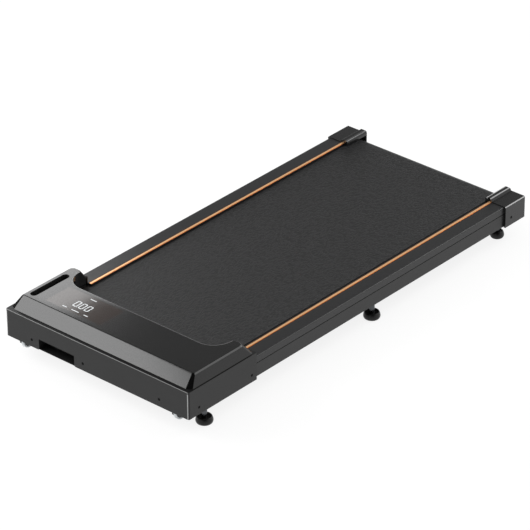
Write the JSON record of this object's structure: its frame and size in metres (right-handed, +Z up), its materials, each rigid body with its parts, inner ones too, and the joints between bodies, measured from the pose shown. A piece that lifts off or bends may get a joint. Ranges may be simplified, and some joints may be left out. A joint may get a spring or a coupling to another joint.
{
  "type": "walking pad",
  "caption": "Low under-desk treadmill with a belt deck between two side rails, a flat motor head with a display, rear end caps, levelling feet and transport wheels.",
  "frame": {"origin": "on the floor, under the middle of the machine", "axes": "+X to the right, +Y from the motor head to the rear end caps, +Z up"},
  "size_m": [0.5034, 1.074, 0.1261],
  "materials": {
    "powder_coat": "fine matt powder coat",
    "frame_paint": "matt black paint",
    "cover_gloss": "glossy moulded ABS",
    "smoked_window": "smoked acrylic",
    "circuit_board": "green solder mask",
    "lit_white": "lit white diffuser",
    "inner_black": "black moulded plastic",
    "switch_black": "black moulded plastic",
    "button_red": "red moulded plastic",
    "bare_aluminium": "mill finish",
    "motor_paint": "black enamel",
    "copper_winding": "lacquered copper and iron",
    "bright_steel": "ground steel",
    "roller_steel": "zinc-plated tube",
    "black_screw": "black oxide",
    "drive_rubber": "ribbed rubber",
    "belt_surface": "embossed PVC on woven backing",
    "deck_laminate": "black laminated fibreboard",
    "rail_coat": "black anodised extrusion",
    "copper_strip": "copper-orange anodised",
    "cap_plastic": "black moulded ABS",
    "foot_rubber": "moulded rubber",
    "stud_zinc": "zinc-plated steel",
    "wheel_plastic": "pale moulded nylon"
  },
  "bodies": {
    "frame": {"base_housing": "powder_coat", "belly_plate": "frame_paint", "motor_cover": "cover_gloss", "belt_guard": "cover_gloss", "display_window": "smoked_window", "display_board": "circuit_board", "display_digits": "lit_white", "slot_liner": "inner_black", "inlet_panel": "inner_black", "power_inlet": "inner_black", "switch_housing": "inner_black", "breaker_body": "inner_black", "control_board": "circuit_board", "heat_sink": "bare_aluminium", "motor_bracket": "frame_paint", "motor_can": "motor_paint", "motor_end_bells": "bare_aluminium", "drive_belt": "drive_rubber", "front_axle": "bright_steel", "rear_axle": "bright_steel", "tension_bolts": "black_screw", "walking_belt": "belt_surface", "deck_board": "deck_laminate", "deck_cushions": "foot_rubber", "deck_screws": "black_screw", "cross_tubes": "frame_paint", "frame_tube_left": "frame_paint", "frame_tube_right": "frame_paint", "side_rail_left": "rail_coat", "side_rail_right": "rail_coat", "accent_strips": "copper_strip", "end_cap_left": "cap_plastic", "end_cap_right": "cap_plastic", "wheel_brackets": "frame_paint", "wheel_axles": "bright_steel", "housing_screws": "black_screw"},
    "front_roller": {"front_roller": "roller_steel", "front_roller_pulley": "inner_black", "front_bearings": "bright_steel"},
    "rear_roller": {"rear_roller": "roller_steel", "rear_bearings": "bright_steel"},
    "motor_rotor": {"motor_armature": "copper_winding", "motor_pulley": "bare_aluminium", "motor_fan": "inner_black"},
    "wheel_left": {"wheel_left": "wheel_plastic"},
    "wheel_right": {"wheel_right": "wheel_plastic"},
    "power_rocker": {"power_rocker": "switch_black"},
    "breaker_button": {"breaker_button": "button_red"},
    "foot_front_left": {"foot_pad_front_left": "foot_rubber", "foot_stud_front_left": "stud_zinc"},
    "foot_front_right": {"foot_pad_front_right": "foot_rubber", "foot_stud_front_right": "stud_zinc"},
    "foot_middle_left": {"foot_pad_middle_left": "foot_rubber", "foot_stud_middle_left": "stud_zinc"},
    "foot_middle_right": {"foot_pad_middle_right": "foot_rubber", "foot_stud_middle_right": "stud_zinc"},
    "foot_rear_left": {"foot_pad_rear_left": "foot_rubber", "foot_stud_rear_left": "stud_zinc"},
    "foot_rear_right": {"foot_pad_rear_right": "foot_rubber", "foot_stud_rear_right": "stud_zinc"}
  },
  "joints": [
    {"name": "front_roller_spin", "type": "hinge", "parent": "frame", "child": "front_roller", "pos_m": [0, -0.427, 0.0628], "axis": [-1, 0, 0], "continuous": true},
    {"name": "rear_roller_spin", "type": "hinge", "parent": "frame", "child": "rear_roller", "pos_m": [0, 0.5066, 0.0628], "axis": [-1, 0, 0], "continuous": true},
    {"name": "motor_spin", "type": "hinge", "parent": "frame", "child": "motor_rotor", "pos_m": [0, -0.488, 0.0778], "axis": [-1, 0, 0], "continuous": true},
    {"name": "wheel_left_spin", "type": "hinge", "parent": "frame", "child": "wheel_left", "pos_m": [-0.209, -0.5165, 0.036], "axis": [-1, 0, 0], "continuous": true},
    {"name": "wheel_right_spin", "type": "hinge", "parent": "frame", "child": "wheel_right", "pos_m": [0.209, -0.5165, 0.036], "axis": [-1, 0, 0], "continuous": true},
    {"name": "power_rocker_tilt", "type": "hinge", "parent": "frame", "child": "power_rocker", "pos_m": [-0.103, -0.511, 0.0529], "axis": [0, 0, -1], "range_deg": [0, 18]},
    {"name": "breaker_button_travel", "type": "slide", "parent": "frame", "child": "breaker_button", "axis": [0, -1, 0], "range_m": [0, 0.004]},
    {"name": "foot_front_left_height", "type": "slide", "parent": "frame", "child": "foot_front_left", "axis": [0, 0, -1], "range_m": [-0.008, 0.008]},
    {"name": "foot_front_right_height", "type": "slide", "parent": "frame", "child": "foot_front_right", "axis": [0, 0, -1], "range_m": [-0.008, 0.008]},
    {"name": "foot_middle_left_height", "type": "slide", "parent": "frame", "child": "foot_middle_left", "axis": [0, 0, -1], "range_m": [-0.008, 0.008]},
    {"name": "foot_middle_right_height", "type": "slide", "parent": "frame", "child": "foot_middle_right", "axis": [0, 0, -1], "range_m": [-0.008, 0.008]},
    {"name": "foot_rear_left_height", "type": "slide", "parent": "frame", "child": "foot_rear_left", "axis": [0, 0, -1], "range_m": [-0.008, 0.008]},
    {"name": "foot_rear_right_height", "type": "slide", "parent": "frame", "child": "foot_rear_right", "axis": [0, 0, -1], "range_m": [-0.008, 0.008]}
  ],
  "couplings": [
    {"joint": "rear_roller_spin", "follows": "front_roller_spin", "ratio": 1},
    {"joint": "motor_spin", "follows": "front_roller_spin", "ratio": 2.25}
  ]
}
